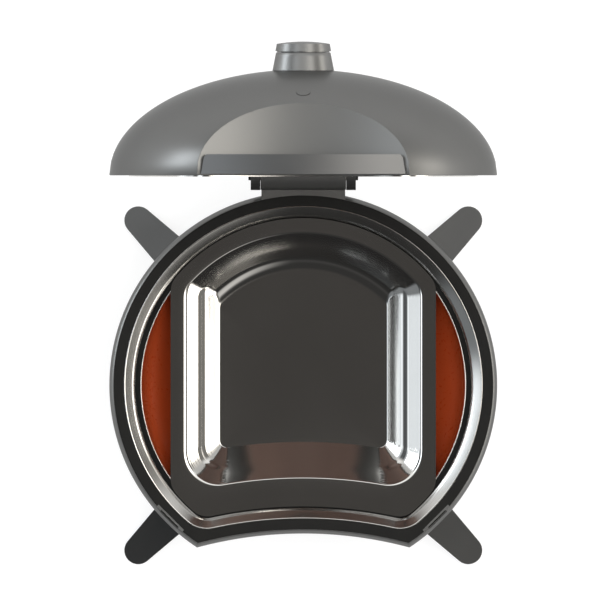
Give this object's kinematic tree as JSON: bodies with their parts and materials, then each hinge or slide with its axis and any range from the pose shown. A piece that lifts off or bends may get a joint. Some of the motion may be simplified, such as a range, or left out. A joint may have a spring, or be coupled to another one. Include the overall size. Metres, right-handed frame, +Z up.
{
  "type": "domed table-top gas oven",
  "caption": "Round cast table-top gas oven with a concave front, hinged dome lid with a capped flue, enamelled bowl, lift-out roasting pan and splayed legs.",
  "frame": {"origin": "middle of the footprint of the whole object with its lid open, on the surface that its feet stand on", "axes": "+Z up, the concave front with its controls faces -Y, the lid's hinge is at +Y and runs along X"},
  "size_m": [0.54, 0.7276, 0.7151],
  "materials": {
    "cast_aluminium": "satin, bead-blasted casting with a clear coat",
    "gasket_black": "matt black silicone",
    "trim_steel": "bright stainless steel",
    "plain_steel": "plain stainless steel",
    "pan_steel": "polished stainless steel",
    "black_enamel": "gloss black enamel on steel",
    "orange_enamel": "glossy burnt-orange vitreous enamel on steel",
    "brown_enamel": "glossy dark brown vitreous enamel on steel",
    "black_screw": "blackened steel",
    "black_plastic": "moulded heat-resistant plastic",
    "foot_rubber": "matt black rubber",
    "brass": "machined brass",
    "copper": "drawn copper tube",
    "white_ceramic": "white ceramic"
  },
  "bodies": {
    "base": {"base_shell": "cast_aluminium", "rim_gasket": "gasket_black", "trim_ring": "trim_steel", "pan_support_ring": "black_enamel", "bowl_liner": "orange_enamel", "bottom_cover": "plain_steel", "bottom_cover_screws": "black_screw", "leg_front_left": "cast_aluminium", "leg_front_right": "cast_aluminium", "leg_rear_left": "cast_aluminium", "leg_rear_right": "cast_aluminium", "foot_front_left": "foot_rubber", "foot_front_right": "foot_rubber", "foot_rear_left": "foot_rubber", "foot_rear_right": "foot_rubber", "leg_screws": "black_screw", "control_panel": "black_enamel", "knob_bezel": "trim_steel", "gas_valve": "brass", "gas_jet": "brass", "gas_pipe": "copper", "hose_inlet": "brass", "burner_ring": "plain_steel", "burner_venturi": "plain_steel", "burner_clips": "plain_steel", "igniter_body": "black_plastic", "igniter_electrode": "white_ceramic", "hinge_bracket": "cast_aluminium", "bracket_screws": "black_screw", "hinge_pin": "black_screw", "hinge_washers": "trim_steel", "lid_stop_pad": "foot_rubber"},
    "lid": {"lid_shell": "cast_aluminium", "lid_liner": "brown_enamel", "lid_lip_ring": "trim_steel", "lid_handle": "cast_aluminium", "handle_posts": "cast_aluminium", "handle_screws": "black_screw", "hinge_ear_left": "cast_aluminium", "hinge_ear_right": "cast_aluminium", "ear_screws": "black_screw", "gauge_hole_plug": "cast_aluminium", "plug_nut": "black_screw", "flue_collar": "cast_aluminium", "flue_spider": "plain_steel"},
    "cap": {"flue_cap": "cast_aluminium", "flue_cap_stem": "plain_steel"},
    "pan": {"roasting_pan": "pan_steel"},
    "knob": {"gas_knob": "black_plastic", "valve_stem": "brass"},
    "button": {"igniter_button": "black_plastic"}
  },
  "joints": [
    {"name": "lid_hinge", "type": "hinge", "parent": "base", "child": "lid", "pos_m": [0, 0.1746, 0.1778], "axis": [-1, 0, 0], "range_deg": [-90, 0]},
    {"name": "cap_slide", "type": "slide", "parent": "lid", "child": "cap", "axis": [0, 1, 0], "range_m": [0, 0.025]},
    {"name": "pan_lift", "type": "slide", "parent": "base", "child": "pan", "axis": [0, 0, 1], "range_m": [0, 0.1]},
    {"name": "knob_turn", "type": "hinge", "parent": "base", "child": "knob", "pos_m": [0, -0.3027, 0.098], "axis": [0, -1, 0], "range_deg": [0, 180]},
    {"name": "button_press", "type": "slide", "parent": "base", "child": "button", "axis": [0, 1, 0], "range_m": [0, 0.004], "stiffness_N_per_m": 500, "springref_m": -0.002}
  ]
}
